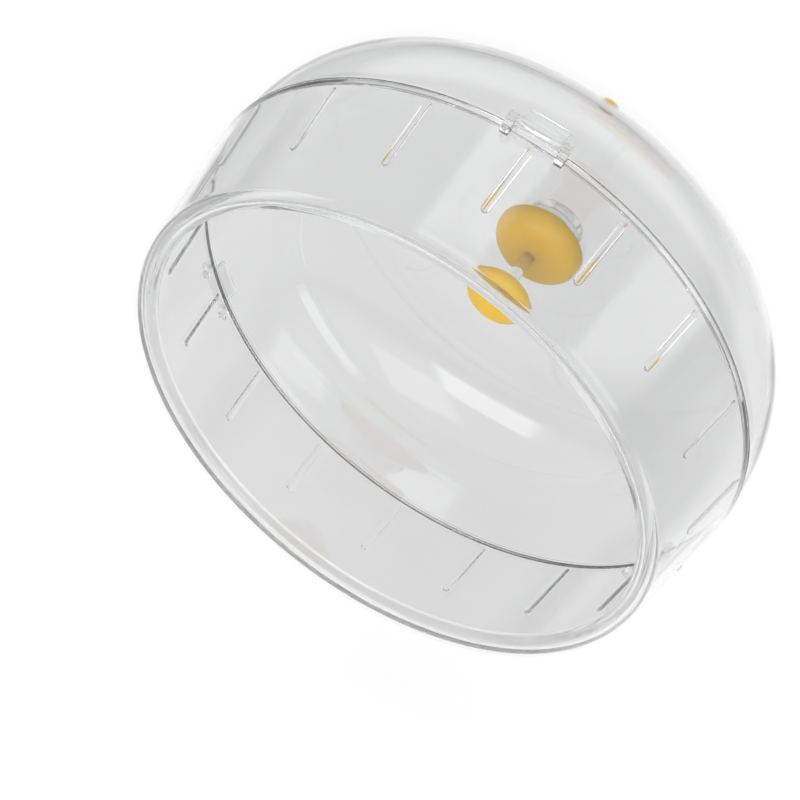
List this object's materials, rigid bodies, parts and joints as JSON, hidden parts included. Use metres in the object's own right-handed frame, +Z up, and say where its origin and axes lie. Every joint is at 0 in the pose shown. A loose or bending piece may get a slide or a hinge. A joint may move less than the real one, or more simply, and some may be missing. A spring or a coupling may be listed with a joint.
{
  "type": "hamster wheel",
  "caption": "clear closed-back hamster wheel with a conical ribbed running drum, a rounded rim, a domed back and a yellow hub on a ball bearing",
  "frame": {"origin": "centre of the flat rear face of the fixed mount boss, on the wheel's axis", "axes": "+Y along the wheel's axis out of the rear mount face, the opening faces -Y, +Z up"},
  "size_m": [0.142, 0.0774, 0.1428],
  "materials": {
    "clear_plastic": "clear, polished",
    "yellow_plastic": "satin moulded",
    "bearing_steel": "ground",
    "cage_brass": "stamped"
  },
  "bodies": {
    "fixed_axle": {"mount_boss": "clear_plastic", "axle": "bearing_steel", "bearing_inner_ring": "bearing_steel", "axle_washer": "bearing_steel", "axle_clip": "bearing_steel"},
    "wheel": {"dome_shell": "clear_plastic", "inner_cap": "yellow_plastic", "cap_stem": "clear_plastic", "hub_collar": "yellow_plastic", "bearing_outer_ring": "bearing_steel", "bearing_front_shield": "bearing_steel", "bearing_rear_shield": "bearing_steel", "bearing_cover": "clear_plastic"},
    "ball_cage": {"bearing_cage": "cage_brass", "bearing_ball_1": "bearing_steel", "bearing_ball_2": "bearing_steel", "bearing_ball_3": "bearing_steel", "bearing_ball_4": "bearing_steel", "bearing_ball_5": "bearing_steel", "bearing_ball_6": "bearing_steel", "bearing_ball_7": "bearing_steel"},
    "drum": {"drum_shell": "clear_plastic"},
    "latch_1": {"latch_1": "clear_plastic"},
    "latch_2": {"latch_2": "clear_plastic"},
    "latch_3": {"latch_3": "clear_plastic"}
  },
  "joints": [
    {"name": "wheel_spin", "type": "hinge", "parent": "fixed_axle", "child": "wheel", "pos_m": [0, 0, 0], "axis": [0, 1, 0], "continuous": true},
    {"name": "cage_spin", "type": "hinge", "parent": "fixed_axle", "child": "ball_cage", "pos_m": [0, -0.0067, 0], "axis": [0, 1, 0], "continuous": true},
    {"name": "drum_pull", "type": "slide", "parent": "wheel", "child": "drum", "axis": [0, -1, 0], "range_m": [0, 0.06]},
    {"name": "latch_1_swing", "type": "hinge", "parent": "drum", "child": "latch_1", "pos_m": [0.01611, -0.0429, 0.06979], "axis": [0.9744, 0, -0.225], "range_deg": [0, 100]},
    {"name": "latch_2_swing", "type": "hinge", "parent": "drum", "child": "latch_2", "pos_m": [0.05238, -0.0429, -0.04885], "axis": [-0.682, 0, -0.7314], "range_deg": [0, 100]},
    {"name": "latch_3_swing", "type": "hinge", "parent": "drum", "child": "latch_3", "pos_m": [-0.0685, -0.0429, -0.02094], "axis": [-0.2924, 0, 0.9563], "range_deg": [0, 100]}
  ],
  "couplings": [
    {"joint": "cage_spin", "follows": "wheel_spin", "ratio": 0.62308}
  ]
}
